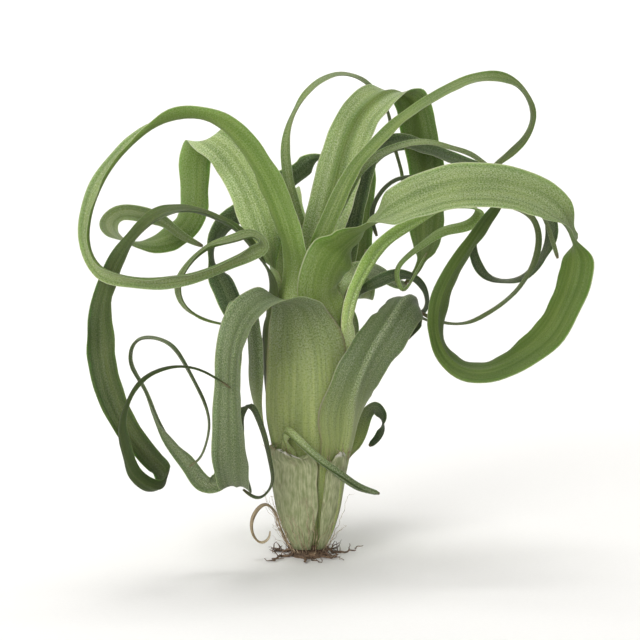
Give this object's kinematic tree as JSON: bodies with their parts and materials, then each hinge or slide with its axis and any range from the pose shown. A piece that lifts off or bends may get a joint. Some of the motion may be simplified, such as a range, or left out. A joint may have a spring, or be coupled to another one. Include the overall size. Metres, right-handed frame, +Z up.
{
  "type": "air plant",
  "caption": "Curly-leaved air plant: a bulb of overlapping sheaths whose long ribbon leaves arch out and coil, standing on a flat foot with short wiry roots.",
  "frame": {"origin": "middle of the flat foot that the plant rests on", "axes": "+Z up the plant, -Y its front, +X to the right as seen from the front"},
  "size_m": [0.1357, 0.1146, 0.1364],
  "materials": {
    "leaf_green": "fresh green leaf, softly satin, with a fine silvery scale",
    "leaf_silver": "grey-green leaf with a thick silvery bloom of scales",
    "leaf_olive": "olive-green leaf, softly satin, with lengthwise veins",
    "leaf_shaded": "dark green older leaf, matt",
    "old_sheath": "papery tan and olive old sheath",
    "dry_leaf": "dry curled leaf, straw coloured",
    "root_fibre": "brown wiry root, matt"
  },
  "bodies": {
    "root": {"stem_and_roots": "root_fibre", "leaf_front": "leaf_silver", "leaf_right_front": "leaf_silver", "leaf_big_loop": "leaf_green", "leaf_fold_left": "leaf_green", "leaf_long_left": "leaf_green", "leaf_lower_left": "leaf_silver", "leaf_thin_top": "leaf_green", "leaf_tall_centre": "leaf_green", "leaf_arch_right": "leaf_green", "leaf_thin_arch": "leaf_green", "leaf_broad_right": "leaf_olive", "leaf_slim_right": "leaf_green", "leaf_left_back": "leaf_shaded", "leaf_dark_ring": "leaf_shaded", "leaf_arc": "leaf_shaded", "leaf_grey_back": "leaf_silver", "leaf_right_low": "leaf_shaded", "leaf_front_small": "leaf_silver", "leaf_back_tail": "leaf_shaded", "leaf_back_small": "leaf_green", "leaf_back_low": "leaf_green", "leaf_back_broad": "leaf_green", "leaf_back_loop": "leaf_green", "leaf_back_tall": "leaf_green", "leaf_back_left": "leaf_green", "sheath_left": "old_sheath", "sheath_right": "old_sheath", "sheath_back": "old_sheath", "dry_curl": "dry_leaf"}
  },
  "joints": []
}
